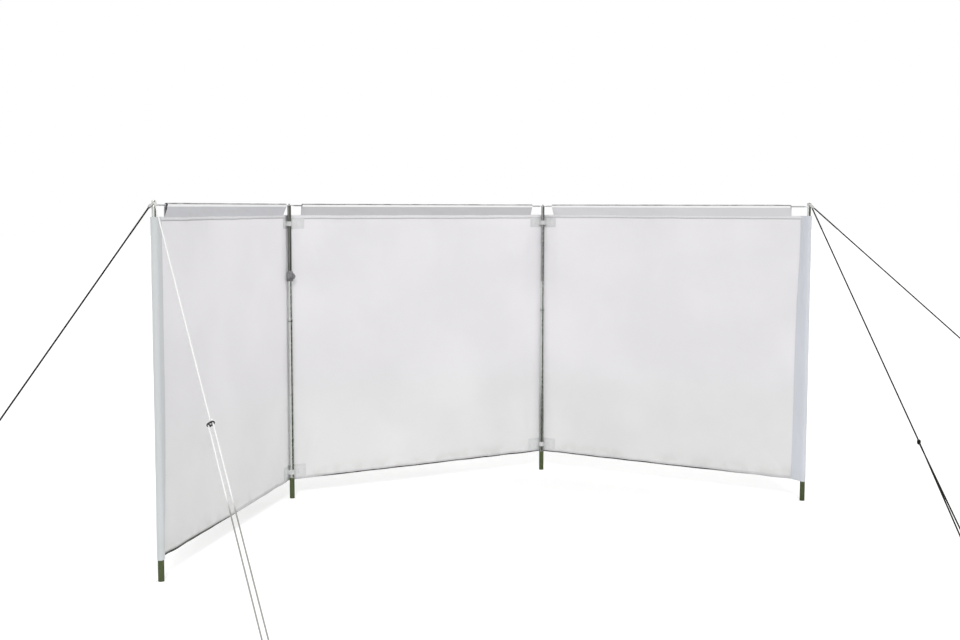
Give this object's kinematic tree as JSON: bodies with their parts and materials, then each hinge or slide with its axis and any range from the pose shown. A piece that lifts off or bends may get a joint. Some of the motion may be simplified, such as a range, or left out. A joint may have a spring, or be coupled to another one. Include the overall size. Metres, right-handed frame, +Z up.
{
  "type": "beach windbreak",
  "caption": "Pitched windbreak of coated cloth bays on telescopic steel poles, with ridge rods, sleeves, sewn patches, webbing straps and guys on pegs.",
  "frame": {"origin": "centre of the whole object's plan, with the guys and pegs, at ground level", "axes": "+X along the middle bay from the left wing to the right wing, +Y towards the wind, +Z up; both wings fold towards -Y, the sheltered side"},
  "size_m": [5.9586, 2.6028, 1.51],
  "materials": {
    "cloth": "coated polyester, light grey, matt",
    "sleeve": "coated polyester, mid grey, matt",
    "tunnel": "coated polyester, blue grey, matt",
    "patch": "coated polyester, sewn, matt",
    "webbing": "woven webbing, pale grey",
    "steel": "zinc plated tube, satin",
    "rod": "zinc plated tube, satin",
    "clamp": "mid grey moulded plastic",
    "cord": "braided, white and grey",
    "runner": "black moulded plastic",
    "peg": "zinc plated, satin"
  },
  "bodies": {
    "root": {"end_sleeve_left": "tunnel", "end_sleeve_right": "tunnel", "fabric_panel_left": "cloth", "fabric_panel_middle": "cloth", "fabric_panel_right": "cloth", "guy_line_left_lee": "cord", "guy_line_left_windward": "cord", "guy_line_right_lee": "cord", "guy_line_right_windward": "cord", "guy_peg_left_lee": "peg", "guy_peg_left_windward": "peg", "guy_peg_right_lee": "peg", "guy_peg_right_windward": "peg", "guy_runner_left_lee": "runner", "guy_runner_left_windward": "runner", "guy_runner_right_lee": "runner", "guy_runner_right_windward": "runner", "pole_1_lower_tube": "steel", "pole_1_middle_tube": "steel", "pole_1_top_tube": "steel", "pole_2_bottom_patch": "patch", "pole_2_bottom_strap": "webbing", "pole_2_clamp": "clamp", "pole_2_clamp_knob": "clamp", "pole_2_lower_tube": "steel", "pole_2_middle_tube": "steel", "pole_2_top_patch": "patch", "pole_2_top_strap": "webbing", "pole_2_top_tube": "steel", "pole_3_bottom_patch": "patch", "pole_3_bottom_strap": "webbing", "pole_3_lower_tube": "steel", "pole_3_middle_tube": "steel", "pole_3_top_patch": "patch", "pole_3_top_strap": "webbing", "pole_3_top_tube": "steel", "pole_4_lower_tube": "steel", "pole_4_middle_tube": "steel", "pole_4_top_tube": "steel", "ridge_rod_left": "rod", "ridge_rod_middle": "rod", "ridge_rod_right": "rod", "ridge_sleeve_left": "sleeve", "ridge_sleeve_middle": "sleeve", "ridge_sleeve_right": "sleeve"}
  },
  "joints": []
}
